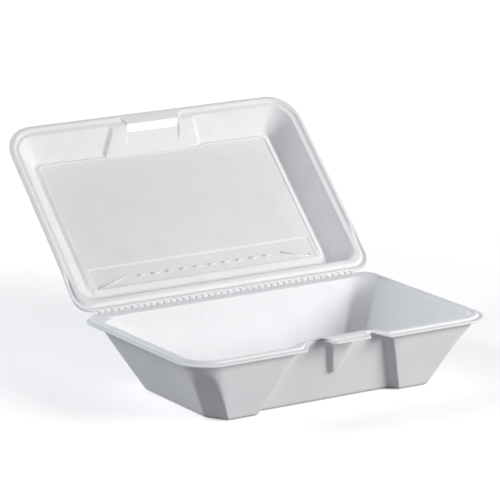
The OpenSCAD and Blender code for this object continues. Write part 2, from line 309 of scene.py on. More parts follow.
def corner_shares(facet: float) -> list[tuple[float, float]]:
    """Return a corner's points in a unit square, from its start to just before its end.

    Args:
        facet: Half angle of the flat cut across the quarter circle, in degrees.

    Returns:
        Shares along the start's direction and along the end's direction.
    """
    def on_arc(angle: float) -> tuple[float, float]:
        """Return the point on the quarter circle at an angle from its start."""
        turn = math.radians(angle)
        return (math.sin(turn), 1.0 - math.cos(turn))

    # A round corner keeps the same number of points, spread over the whole quarter circle
    flat = max(facet, FACET_LEAST)
    first, last = on_arc(45.0 - flat), on_arc(45.0 + flat)
    straight = smooth(facet / FACET_LEAST)
    shares = [on_arc((45.0 - flat) * i / CORNER_ARC) for i in range(CORNER_ARC)]
    for i in range(CORNER_FLAT):
        part = i / CORNER_FLAT
        chord = (mix(first[0], last[0], part), mix(first[1], last[1], part))
        curve = on_arc(45.0 - flat + 2.0 * flat * part)
        shares.append((mix(curve[0], chord[0], straight), mix(curve[1], chord[1], straight)))
    shares += [on_arc(45.0 + flat + (45.0 - flat) * i / CORNER_ARC) for i in range(CORNER_ARC)]
    return shares


def ring_points(station: Station) -> Points:
    """Return the closed ring of points of one station, in millimetres.

    Args:
        station: The ring's sizes.

    Returns:
        One row of X, Y and Z for each point, from the front's middle round by +X.
    """
    rows: list[tuple[float, float, float]] = []
    start = (station.half - station.run_front[0], station.front, station.z)
    knots = station.knots + [start]
    for i, shares in enumerate(FRONT_SHARES):
        a, b = knots[i], knots[i + 1]
        rows += [tuple(mix(a[k], b[k], s) for k in range(3)) for s in shares]
    for along, across in corner_shares(station.facet):
        rows.append((start[0] + station.run_front[0] * along,
                     station.front + station.run_front[1] * across, station.z))
    side_a, side_b = station.front + station.run_front[1], station.back - station.run_back[1]
    for s in SIDE_SHARES:
        lift = smooth((s - station.rise[0]) / (station.rise[1] - station.rise[0]))
        rows.append((station.half, mix(side_a, side_b, s), mix(station.z, station.z_back, lift)))
    for along, across in corner_shares(station.facet):
        rows.append((station.half - station.run_back[0] * across,
                     side_b + station.run_back[1] * along, station.z_back))
    end_x = station.half - station.run_back[0]
    rows += [(end_x * (1.0 - s), station.back, station.z_back) for s in BACK_SHARES]
    half = np.array(rows)
    left = half[:0:-1] * np.array([-1.0, 1.0, 1.0])
    return np.vstack([half, [[0.0, station.back, station.z_back]], left])


@dataclass
class Loft:
    """Closed skin through rings of equal length, capped by a centre point at both ends."""

    name: str
    rings: list[Points]
    window: tuple[int, int, int, int] | None = None
    window_half: int = 0

    def mesh(self, place: Callable[[Points], Points] | None = None) -> Piece:
        """Build the skin's mesh object.

        Args:
            place: Function that moves the points, in millimetres.

        Returns:
            The linked object, with its place in its mesh.
        """
        count, last = len(self.rings[0]), len(self.rings) - 1
        points = np.vstack(self.rings + [self.rings[0].mean(axis=0)[None], self.rings[-1].mean(axis=0)[None]])
        first_pole, last_pole = len(points) - 2, len(points) - 1
        sides = tube_sides(len(self.rings), count)
        faces = [face for k, face in enumerate(sides) if not self._open(k // count, k % count, count)]
        for i in range(count):
            n = (i + 1) % count
            faces += [(first_pole, n, i), (last_pole, last * count + i, last * count + n)]
        faces += self._window_faces(count)
        return mesh_piece(self.name, points if place is None else place(points), faces)

    def _open(self, row: int, column: int, count: int) -> bool:
        """Tell whether a face lies in the window through the skin.

        Args:
            row: Number of the ring before the face.
            column: Number of the point before the face.
            count: Points in each ring.

        Returns:
            True where the skin is open.
        """
        if self.window is None:
            return False
        near = column < self.window_half or column >= count - self.window_half
        a, b, c, d = self.window
        return near and (a <= row < b or c <= row < d)

    def _window_faces(self, count: int) -> list[Face]:
        """Return the faces that close the window's edge between the two skins.

        Args:
            count: Points in each ring.

        Returns:
            Faces as tuples of point numbers.
        """
        if self.window is None:
            return []
        a, b, c, d = self.window
        reach = self.window_half
        faces: list[Face] = []
        for k in range(-reach, reach):
            i, n = k % count, (k + 1) % count
            faces.append((b * count + n, b * count + i, c * count + i, c * count + n))
            faces.append((a * count + i, a * count + n, d * count + n, d * count + i))
        for side in (-reach, reach):
            i = side % count
            for s in range(b - a):
                faces.append(((a + s) * count + i, (a + s + 1) * count + i,
                              (d - s - 1) * count + i, (d - s) * count + i))
        return faces


def tube_sides(sections: int, count: int) -> list[Face]:
    """Return the side faces of a tube.

    Args:
        sections: Sections along the tube.
        count: Points round each section.

    Returns:
        Faces as tuples of point numbers, section by section.
    """
    faces: list[Face] = []
    for start in range(0, (sections - 1) * count, count):
        for i in range(count):
            n = (i + 1) % count
            faces.append((start + i, start + n, start + count + n, start + count + i))
    return faces


def tube_faces(sections: int, count: int) -> list[Face]:
    """Return the side faces of a tube and its two ends, as for tube_sides."""
    end = range((sections - 1) * count, sections * count)
    return tube_sides(sections, count) + [tuple(range(count)), tuple(reversed(end))]


def square_steps(track: Points) -> Points:
    """Return the unit step square to a flat path at each of its points.

    Args:
        track: One row of two coordinates for each point.

    Returns:
        One row of two coordinates for each step.
    """
    padded = np.vstack([track[:1], track, track[-1:]])
    ahead = padded[2:] - padded[:-2]
    ahead /= np.linalg.norm(ahead, axis=1)[:, None]
    return np.column_stack([-ahead[:, 1], ahead[:, 0]])


def link(piece: Piece) -> Piece:
    """Link an object to the scene and return it."""
    bpy.context.scene.collection.objects.link(piece)
    return piece


def mesh_piece(name: str, points: Points, faces: list[Face]) -> Piece:
    """Build a smooth mesh without loose or double points and with all faces outwards.

    Args:
        name: Name of the piece.
        points: Points in millimetres.
        faces: Faces as tuples of point numbers.

    Returns:
        The linked object.
    """
    data = bpy.data.meshes.new(name)
    data.from_pydata((points * MM).tolist(), [], faces)
    data.validate()
    mesh = bmesh.new()
    mesh.from_mesh(data)
    bmesh.ops.delete(mesh, geom=[v for v in mesh.verts if not v.link_faces], context="VERTS")
    bmesh.ops.remove_doubles(mesh, verts=mesh.verts[:], dist=1e-6)
    bmesh.ops.recalc_face_normals(mesh, faces=mesh.faces[:])
    mesh.to_mesh(data)
    mesh.free()
    data.polygons.foreach_set("use_smooth", [True] * len(data.polygons))
    return link(bpy.data.objects.new(name, data))


def apply_modifiers(piece: Piece) -> Piece:
    """Turn a piece with live modifiers into a plain mesh.

    Args:
        piece: Mesh object.

    Returns:
        The same object.
    """
    bpy.context.view_layer.update()
    evaluated = piece.evaluated_get(bpy.context.evaluated_depsgraph_get())
    old, plain = piece.data, bpy.data.meshes.new_from_object(evaluated)
    piece.modifiers.clear()
    piece.data = plain
    plain.name = piece.name
    bpy.data.meshes.remove(old)
    return piece


def soften(piece: Piece) -> Piece:
    """Round a piece with one level of subdivision.

    Args:
        piece: Mesh object.

    Returns:
        The same object.
    """
    rounder = piece.modifiers.new("round", "SUBSURF")
    rounder.levels = rounder.render_levels = 1
    return apply_modifiers(piece)


def with_flats(skin: list[Points]) -> list[Points]:
    """Return a skin's rings with smaller ones inside its first and last ring, which lie flat.

    Args:
        skin: Rings of equal length.

    Returns:
        The rings from the first flat's middle to the last flat's middle.
    """
    def smaller(ring: Points) -> list[Points]:
        """Return copies of a ring drawn in towards its middle."""
        middle = (ring.min(axis=0) + ring.max(axis=0)) / 2
        return [middle + (ring - middle) * np.array([s, s, 1.0]) for s in FLAT_SHARES]

    return smaller(skin[0]) + skin + smaller(skin[-1])[::-1]


def dress(piece: Piece, finish: Finish) -> Piece:
    """Give a piece its only material.

    Args:
        piece: Mesh object.
        finish: The material.

    Returns:
        The same object.
    """
    piece.data.materials.clear()
    piece.data.materials.append(finish)
    return piece


@dataclass
class Tray:
    """Deep tapered tray with stepped rim, cut corners, front recess, buttress and nose.

    Lengths are in millimetres. The pairs are: facet_runs along X and Y at the foot, facet_ends the shares of
    the wall's height where the facets begin to arch and end, buttress_end where the buttress runs out and over
    which share of its length, and floor_spread the widening of the recess's flanks on the underside and for
    each millimetre of step on the floor.
    """

    length: float = 237.0
    front: float = 79.6
    height: float = 49.0
    floor_length: float = 175.0
    floor_width: float = 108.0
    wall: float = 3.2
    wall_slant: float = 1.13
    rim_round: float = 22.0
    hinge_round: float = 12.0
    facet_runs: tuple[float, float] = (10.0, 16.0)
    facet_ends: tuple[float, float] = (0.66, 0.82)
    foot_round: float = 2.4
    foot_inset: float = 0.9
    bed_round: float = 3.2
    bed_step: float = 0.8
    floor_spread: tuple[float, float] = (9.0, 3.0)
    lip_thick: float = 1.6
    lip_drop: float = 1.9
    overhang: float = 4.8
    hinge_y: float = 75.5
    fold_gap: float = 0.4
    back_flange: float = 9.0
    back_rise: float = 0.1
    back_fall: float = 1.0
    recess_top: float = 76.0
    recess_foot: float = 112.0
    recess_deep: float = 7.2
    recess_flank: float = 4.0
    dish_half: float = 10.8
    lip_end: float = 32.5
    lip_curl: float = 8.5
    nose_reach: float = 6.2
    nose_bow: float = 0.15
    buttress_half: float = 7.6
    buttress_foot_half: float = 0.7
    buttress_side: float = 1.7
    buttress_clear: float = 4.0
    buttress_long: float = 25.0
    buttress_high: float = 4.4
    buttress_taper: float = 0.3
    buttress_end: tuple[float, float] = (1.06, 0.1)
    buttress_lean: float = 0.457
    name: str = "tray_shell"

    @property
    def lip_top(self) -> float:
        """Return the height of the lip's upper face."""
        return self.height - self.lip_drop

    @property
    def lip_z(self) -> float:
        """Return the height of the lip's lower face."""
        return self.lip_top - self.lip_thick

    @property
    def level_wall(self) -> float:
        """Return the wall's thickness measured level."""
        return self.wall * self.wall_slant

    @property
    def back_in(self) -> float:
        """Return the Y of the rim's inner edge along the hinge."""
        return self.hinge_y - self.back_flange

    def recess_y(self, z: float) -> float:
        """Return the Y of the recessed front panel at a height."""
        run = (self.front - self.overhang - self.floor_width / 2) / self.lip_z
        return -(self.floor_width / 2 - self.recess_deep + run * z)

    def facet_angle(self, z: float) -> float:
        """Return the half angle of the corner facet, which narrows upwards and ends in an arch.

        Args:
            z: Height.

        Returns:
            Half angle in degrees.
        """
        start, end = (self.lip_z * share for share in self.facet_ends)
        share = min(1.0, max(0.0, (z - start) / (end - start)))
        return mix(FACET_FULL, FACET_TOP, min(1.0, z / start)) * math.sqrt(max(0.0, 1.0 - share * share))

    def corner_runs(self, z: float) -> tuple[float, float]:
        """Return the corner's runs along X and Y at a height."""
        along, across = (mix(run, self.rim_round - self.overhang / 2, z / self.lip_z) for run in self.facet_runs)
        return (along, across)

    def wall_station(self, z: float, inset: float, rib: bool, spread: float = 0.0) -> Station:
        """Return the ring on the wall at a height.

        Args:
            z: Height.
            inset: Distance in from the outer face, measured level.
            rib: Whether the ring carries the buttress under the nose.
            spread: Extra width of the recess's flanks, so that the flats' rings don't fold over.

        Returns:
            The ring's sizes.
        """
        share = z / self.lip_z
        half = mix(self.floor_length / 2, self.length / 2 - self.overhang, share) - inset
        front = inset - mix(self.floor_width / 2, self.front - self.overhang, share)
        back = mix(self.floor_width / 2, self.back_in + self.level_wall, share) - inset
        panel = self.recess_y(z) + inset
        flank_end = mix(self.recess_foot, self.recess_top, share) / 2 + inset / 2
        flank_start = flank_end - self.recess_flank - spread
        along = (self.lip_z - z) / math.cos(math.atan(self.buttress_lean)) / self.buttress_long
        fade = smooth((self.buttress_end[0] - along) / self.buttress_end[1])
        rise = self.buttress_high * (1.0 - self.buttress_taper * along) * fade if rib else 0.0
        crest = mix(self.buttress_half, self.buttress_foot_half, min(1.0, along))
        foot = crest + self.buttress_side
        runs = self.corner_runs(z)
        runs = (runs[0] - inset / 2, runs[1] - inset / 2)
        knots = [(0.0, panel - rise, z), (crest, panel - rise, z), (foot, panel, z),
                 (foot + self.buttress_clear, panel, z), (flank_start, panel, z), (flank_end, front, z)]
        return Station(half, front, back, runs, runs, self.facet_angle(z), z, z, knots)

    def rim_station(self, inset: float, back: float, z: float, panel: tuple[float, float],
                    nose: tuple[float, float, float], dish: float, foot: tuple[float, float, float]) -> Station:
        """Return a ring on the rim.

        Args:
            inset: Distance in from the lip's edge.
            back: Y along the hinge.
            z: Height of the rim.
            panel: Y offset from the recessed panel, and height there.
            nose: Half width, Y and height of the nose.
            dish: Height in the nose's middle.
            foot: Run of the nose's side, with the shares of its way to the panel done in Y and Z.

        Returns:
            The ring's sizes.
        """
        panel_y = self.recess_y(self.lip_z) + panel[0]
        edge = self.lip_end + inset / 2
        half, nose_y, nose_z = nose
        side = (half + foot[0], mix(nose_y, panel_y, foot[1]), mix(nose_z, panel[1], foot[2]))
        knots = [(0.0, nose_y, dish), (self.dish_half, nose_y, dish), (half, nose_y + self.nose_bow, nose_z), side,
                 (edge - self.lip_curl, panel_y, panel[1]), (edge, inset - self.front, z)]
        round_front = self.rim_round - inset / 2
        round_back = self.hinge_round - inset / 2
        way_in = min(1.0, (self.hinge_y - back) / self.back_flange)
        z_back = z + mix(self.back_rise, -self.back_fall, way_in)
        return Station(self.length / 2 - inset, inset - self.front, back, (round_front, round_front),
                       (round_back, round_back), 0.0, z, z_back, knots)

    def rim_stations(self) -> list[Station]:
        """Return the rim's rings.

        Returns:
            The rings from the lip's underside over the ridge to the inner edge.
        """
        end = self.hinge_y - self.fold_gap
        tip = -(self.front + self.nose_reach)
        lip, top, ridge = self.lip_z, self.lip_top, self.height
        inner = self.overhang + self.level_wall - 1.1
        steep, ramp, crest = (1.1, 0.95, 0.12), (2.0, 0.5, 0.45), (2.2, 0.4, 0.55)
        rows = (
            (4.3, 71.8, lip - 0.05, (-0.3, lip + 0.5), (16.8, -69.0, 46.2), 46.2, ramp),
            (1.2, end - 1.2, lip, (-0.6, lip + 1.5), (17.0, -69.9, 48.4), 48.4, ramp),
            (0.35, end - 0.5, lip + 0.08, (-0.85, lip + 2.2), (16.8, -72.2, 50.3), 50.3, steep),
            (0.05, end - 0.3, lip + 0.4, (-1.0, lip + 2.7), (14.5, -84.8, 49.4), 49.4, steep),
            (0.0, end - 0.1, top - 0.35, (-1.05, top + 1.25), (13.7, tip, 49.6), 49.6, steep),
            (0.3, end, top - 0.03, (-1.0, top + 1.5), (13.7, tip + 0.05, 50.35), 50.35, steep),
            (1.6, end, top + 0.02, (-0.8, top + 1.7), (14.0, tip + 0.7, 51.0), 51.0, steep),
            (2.75, end - 0.1, top + 0.05, (-0.6, top + 1.8), (14.3, tip + 1.9, 51.1), 51.0, steep),
            (3.2, end - 0.15, top + 0.3, (-0.4, top + 1.87), (14.6, tip + 2.7, 51.1), 49.95, steep),
            (3.45, end - 0.2, ridge - 0.55, (-0.1, ridge + 0.05), (15.0, tip + 5.9, 51.3), 50.1, steep),
            (3.9, end - 0.4, ridge - 0.08, (0.3, ridge + 0.15), (15.2, tip + 6.9, 51.5), 51.6, steep),
            (4.9, end - 2.2, ridge, (0.9, ridge + 0.2), (15.4, tip + 8.6, 51.8), 52.0, ramp),
            (6.2, mix(end, self.back_in, 0.55), ridge, (1.6, ridge + 0.2), (15.8, tip + 12.6, 52.1), 52.1, crest),
            (inner - 0.5, self.back_in - 0.2, ridge - 0.1, (2.4, ridge + 0.05), (16.6, tip + 14.6, 51.85), 51.85,
             crest),
            (inner, self.back_in + 0.25, ridge - 0.6, (3.0, ridge - 0.5), (18.0, -66.4, 49.2), 49.2, crest),
        )
        return [self.rim_station(*row) for row in rows]

    def rings(self) -> list[Points]:
        """Return all rings.

        Returns:
            The rings' points from the underside's middle over the rim to the floor's middle.
        """
        foot, bed, level_wall = self.foot_round, self.bed_round, self.level_wall
        outer = [self.wall_station(0.0, foot + self.foot_inset, True, self.floor_spread[0])]
        floor: list[Station] = []
        for turn in map(math.radians, ARC_STEPS):
            up, away = 1.0 - math.cos(turn), 1.0 - math.sin(turn)
            outer.append(self.wall_station(foot * up, foot * away, True))
            step_in = bed * self.bed_step * away
            floor.insert(0, self.wall_station(
                self.wall + bed * up, level_wall + step_in, False, self.floor_spread[1] * step_in))
        floor.append(self.wall_station(self.wall, level_wall + bed, False, self.floor_spread[1] * bed))
        outer += [self.wall_station(z, 0.0, True) for z in OUTER_LEVELS]
        inner = [self.wall_station(z, level_wall, False) for z in INNER_LEVELS]
        return with_flats([ring_points(s) for s in outer + self.rim_stations() + inner + floor])

    def build(self) -> Piece:
        """Return the tray's shell."""
        return soften(Loft(self.name, self.rings()).mesh())


@dataclass
class Lid:
    """Shallow lid with stepped flange, boss and the slot for the nose, in millimetres as it lies closed.

    The pairs are: shoulder_way the shares of the way to the flange done in Y and Z beside the slot, slope_ends the
    sloping wall's distances from ledge and panel, slope_corners its corner radii there, and the slot's rings on
    both skins.
    """

    half: float = 119.5
    front: float = 80.6
    flange: float = 1.3
    thick: float = 2.0
    corner: float = 23.0
    hinge_round: float = 12.0
    seat: float = 47.5
    ledge: float = 49.4
    panel_z: float = 65.0
    panel_half: float = 97.0
    panel_front: float = 59.8
    panel_back: float = 57.5
    riser: float = 3.8
    ledge_in: float = 8.52
    hinge_y: float = 75.5
    hinge_z: float = 50.2
    fold_gap: float = 0.4
    back_in: float = 66.0
    boss_half: float = 35.0
    boss_foot_half: float = 40.0
    boss_deep: float = 2.6
    boss_flank: float = 2.5
    boss_narrowing: float = 0.7
    slope_ends: tuple[float, float] = (0.9, 1.2)
    slope_corners: tuple[float, float] = (14.5, 6.0)
    slope_margin: float = 1.0
    slope_out: float = 0.75
    back_corner: float = 0.8
    slot_half: float = 21.0
    shoulder_wall: float = 0.9
    shoulder_flange: float = 1.2
    shoulder_end: float = 3.0
    shoulder_way: tuple[float, float] = (0.45, 0.3)
    strip_y: float = -71.7
    strip_rise: float = 0.8
    strip_thick: float = 1.0
    slot_share: float = 0.215
    slot_round: float = 3.5
    slot_pull: float = 0.8
    slot_inner_rings: tuple[int, int] = (15, 20)
    slot_outer_rings: tuple[int, int] = (4, 9)
    open_deg: float = 136.0
    name: str = "lid_shell"

    def opened(self, points: Points) -> Points:
        """Turn points of the closed lid about the fold to where the lid stands open.

        Args:
            points: Points of the closed lid, in millimetres.

        Returns:
            The turned points.
        """
        turn = math.radians(self.open_deg)
        along, up = self.hinge_y - points[:, 1], points[:, 2] - self.hinge_z
        return np.column_stack([
            points[:, 0],
            self.hinge_y - along * math.cos(turn) + up * math.sin(turn),
            self.hinge_z + along * math.sin(turn) + up * math.cos(turn)])

    def flange_station(self, inset: float, back: float, z: float, z_back: float, corner: float,
                       strip: tuple[float, float] | None = None) -> Station:
        """Return a ring on the flange, with the sloped strip in front of the slot.

        Args:
            inset: Distance in from the flange's edge.
            back: Y along the fold.
            z: Height in front and along the sides.
            z_back: Height along the fold.
            corner: Radius of the front corners.
            strip: Y and height between the slot's ends, where they differ.

        Returns:
            The ring's sizes.
        """
        edge = inset - self.front
        middle = strip or (edge, z)
        near = (mix(middle[0], edge, self.shoulder_way[0]), mix(middle[1], z, self.shoulder_way[1]))
        knots = [(0.0, *middle), (self.slot_half, *middle), (self.slot_half + self.shoulder_flange, *near),
                 (self.slot_half + self.shoulder_end, edge, z), (self.boss_half - self.boss_flank, edge, z),
                 (self.boss_half, edge, z)]
        back_corner = self.hinge_round - inset / 3
        return Station(self.half - inset, edge, back, (corner, corner), (back_corner, back_corner),
                       0.0, z, z_back, knots)

    def wall_station(self, half: float, front: float, back: float, z: float, corner: float,
                     boss: tuple[float, float], window: tuple[float, float] = (0.0, 0.0),
                     back_lift: float = 0.0) -> Station:
        """Return a ring on the wall with the boss.

        Args:
            half: Half length along X.
            front: Y of the plain front wall.
            back: Y of the back wall.
            z: Height.
            corner: Radius of the corners.
            boss: Half width of the boss and how far it stands in.
            window: Y and Z offset of the boss's face between the slot's ends.
            back_lift: How much the ring lies higher along the fold.

        Returns:
            The ring's sizes.
        """
        face = front + boss[1]
        middle = (face + window[0], z + window[1])
        knots = [(0.0, *middle), (self.slot_half, *middle), (self.slot_half + self.shoulder_wall, face, z),
                 (self.slot_half + self.shoulder_end, face, z), (boss[0] - self.boss_flank, face, z),
                 (boss[0], front, z)]
        back_corner = corner * self.back_corner
        return Station(half, front, back, (corner, corner), (back_corner, back_corner), 0.0, z, z + back_lift,
                       knots, CORNER_RISE)

    def slope_station(self, share: float, lift: float, window: tuple[float, float] = (0.0, 0.0)) -> Station:
        """Return a ring on the sloping wall between the ledge and the panel.

        Args:
            share: 0 at the ledge and 1 at the panel's edge.
            lift: Offset outwards, square to the wall, for the outer skin.
            window: Y and Z offset of the boss's face between the slot's ends.

        Returns:
            The ring's sizes.
        """
        low, high = self.ledge + self.slope_ends[0], self.panel_z - self.slope_ends[1]
        out, margin = lift * self.slope_out, self.slope_margin
        half = mix(self.half - self.ledge_in, self.panel_half + margin, share) + out
        front = mix(self.ledge_in - self.front, -self.panel_front - margin, share) - out
        back = mix(self.back_in, self.panel_back + margin, share) + out
        corner = mix(*self.slope_corners, share) + out
        boss = (mix(self.boss_half, self.boss_foot_half, share) - out * self.boss_narrowing, self.boss_deep)
        return self.wall_station(half, front, back, mix(low, high, share) + out, corner, boss, window)

    def panel_station(self, insets: tuple[float, float, float], rise: float, push: float, corner: float,
                      back_lift: float = 0.0) -> Station:
        """Return a ring on the panel, drawn in from its sides, front and back.

        Args:
            insets: Distances in from the panel's sides, front and back edge.
            rise: Height above the panel.
            push: Share of the boss that stands in there.
            corner: Radius of the corners.
            back_lift: How much the ring lies higher along the fold.

        Returns:
            The ring's sizes.
        """
        return self.wall_station(
            self.panel_half - insets[0], insets[1] - self.panel_front, self.panel_back - insets[2],
            self.panel_z + rise, corner, (self.boss_foot_half, self.boss_deep * push), back_lift=back_lift)

    def strip_spot(self, share: float, lift: float) -> tuple[float, float]:
        """Return Y and height on the strip: share 0 at the flange's edge and 1 at the slot."""
        return (mix(-self.front, self.strip_y, share), self.seat + self.strip_rise * share + lift)

    def inner_stations(self) -> list[Station]:
        """Return the inside's rings.

        Returns:
            The rings from the panel to the flange's edge.
        """
        ledge, back, seat, riser, spot = self.ledge, self.back_in, self.seat, self.riser, self.strip_spot
        low, edge, end = ledge - 0.05, self.strip_y, self.hinge_y - self.fold_gap
        panel = (
            ((12.0, 11.0, 9.0), 0.7, 0.0, 3.0),
            ((5.4, 4.7, 4.4), 0.6, 0.45, 3.5, 0.6),
            ((4.7, 4.0, 3.5), 0.03, 0.5, 3.6, 1.1),
            ((4.3, 3.7, 3.1), -0.5, 0.55, 3.7, 1.7),
            ((3.9, 3.3, 2.6), -0.6, 0.6, 3.8, 1.9),
            ((3.3, 2.8, 2.0), -0.55, 0.75, 4.1, 1.9),
            ((0.9, 1.5, 1.3), 0.85, 0.85, 4.5, 0.45),
            ((0.1, 0.6, 0.5), 0.8, 0.95, 4.8, 0.1),
            ((-0.7, -0.4, -0.3), -0.3, 1.0, 5.3, -0.3),
        )
        slope = (
            (0.96, 0.0), (0.78, 0.0), (0.71, 0.0, (-0.05, 0.0)), (0.68, 0.0, (-0.95, 0.3)), (0.5, 0.0, (-1.0, 0.35)),
            (0.27, 0.0, (-1.0, 0.3)), (self.slot_share, 0.0, (-0.85, 0.1)), (0.0, 0.0),
        )
        flange = (
            (self.ledge_in - 0.3, back + 0.5, ledge - 0.1, ledge + 0.1, 14.9, (edge + 1.0, 49.9)),
            (self.ledge_in - 1.4, back + 1.6, ledge + 0.12, ledge, 15.6, (edge + 0.5, 49.6)),
            (riser + 0.45, back + 3.6, ledge - 0.05, low, 20.4, (edge + 0.12, 49.25)),
            (riser, back + 4.3, seat + 0.35, low + 0.15, 20.6, spot(1.0, 0.08)),
            (riser - 0.6, back + 4.9, seat, low + 1.6, 20.9, spot(0.92, 0.0)),
            (riser - 1.5, back + 5.6, seat + 0.02, low + 2.1, 21.5, spot(0.6, 0.02)),
            (1.0, end - 0.7, seat + 0.5, low - 0.05, 22.4, spot(0.25, 0.1)),
            (0.3, end - 0.2, seat + 1.0, low + 0.3, 22.8, spot(0.05, 0.6)),
        )
        return ([self.panel_station(*row) for row in panel] + [self.slope_station(*row) for row in slope]
                + [self.flange_station(*row) for row in flange])

    def outer_stations(self) -> list[Station]:
        """Return the outside's rings.

        Returns:
            The rings from the flange's edge to the panel.
        """
        end, low, edge = self.hinge_y - self.fold_gap, self.ledge - 0.05, self.strip_y
        top, crown = self.seat + self.flange, self.ledge + self.thick
        corner, riser, thick, spot = self.corner, self.riser, self.thick, self.strip_spot
        flange = (
            (0.08, end - 0.1, self.seat + 1.25, low + 1.0, corner),
            (0.12, end, top + 0.15, low + 1.3, corner),
            (0.6, end - 0.1, top + 0.3, low + 1.6, corner - 0.3, spot(0.1, self.strip_thick)),
            (riser - 2.0, end - 0.5, top + 0.25, low + 2.2, corner - 0.9, spot(0.9, self.strip_thick)),
            (riser - 1.6, end - 0.7, top + 0.45, low + 2.4, corner - 1.2, spot(1.0, self.strip_thick - 0.15)),
            (riser - 1.3, end - 1.0, crown - 0.4, low + 2.6, corner - 1.4, (edge + 0.12, 50.5)),
            (riser - 0.7, end - 1.6, crown, low + 2.8, corner - 1.6, (edge + 0.6, 51.1)),
            (self.ledge_in - 2.4, self.back_in + 2.6, crown + 0.1, crown + 0.6, 16.6, (edge + 1.3, 51.9)),
        )
        slope = (
            (0.06, thick, (0.2, 0.0)), (self.slot_share, thick, (-0.3, 0.1)), (self.slot_share + 0.06, thick),
            (0.8, thick), (0.95, thick),
        )
        panel = (
            ((-1.4, -1.4, -1.4), thick - 0.55, 0.9, 6.6),
            ((-0.5, -0.5, -0.5), thick - 0.12, 0.8, 5.8),
            ((1.2, 1.2, 1.2), thick, 0.6, 5.0),
            ((6.5, 6.5, 6.5), thick, 0.0, 4.0),
        )
        return ([self.flange_station(*row) for row in flange] + [self.slope_station(*row) for row in slope]
                + [self.panel_station(*row) for row in panel])

    def rounded_edge(self, ring: Points, towards: Points) -> Points:
        """Return a ring along the slot's upper edge, drawn to the next ring at the slot's round ends.

        Args:
            ring: The ring that carries the edge.
            towards: The ring on the strip's side of it.

        Returns:
            The changed ring.
        """
        reach = np.abs(ring[:, 0])
        turn = np.clip((reach - self.slot_half + self.slot_round) / self.slot_round, 0.0, 1.0)
        share = self.slot_pull * (1.0 - np.sqrt(1.0 - turn * turn))
        share[(reach > self.slot_half + 0.01) | (ring[:, 1] > 0.0)] = 0.0
        return ring + (towards - ring) * share[:, None]

    def build(self) -> Piece:
        """Build the lid's shell, with the slot through both skins.

        Returns:
            The shell, standing open.
        """
        inner = [ring_points(s) for s in self.inner_stations()]
        outer = [ring_points(s) for s in self.outer_stations()]
        upper, under = self.slot_inner_rings
        low, high = self.slot_outer_rings
        inner[upper] = self.rounded_edge(inner[upper], inner[upper + 1])
        outer[high] = self.rounded_edge(outer[high], outer[high - 1])
        shift = len(FLAT_SHARES)
        out = shift + len(inner)
        window = (shift + upper, shift + under, out + low, out + high)
        shell = Loft(self.name, with_flats(inner + outer), window, len(FRONT_SHARES[0]))
        return soften(shell.mesh(self.opened))


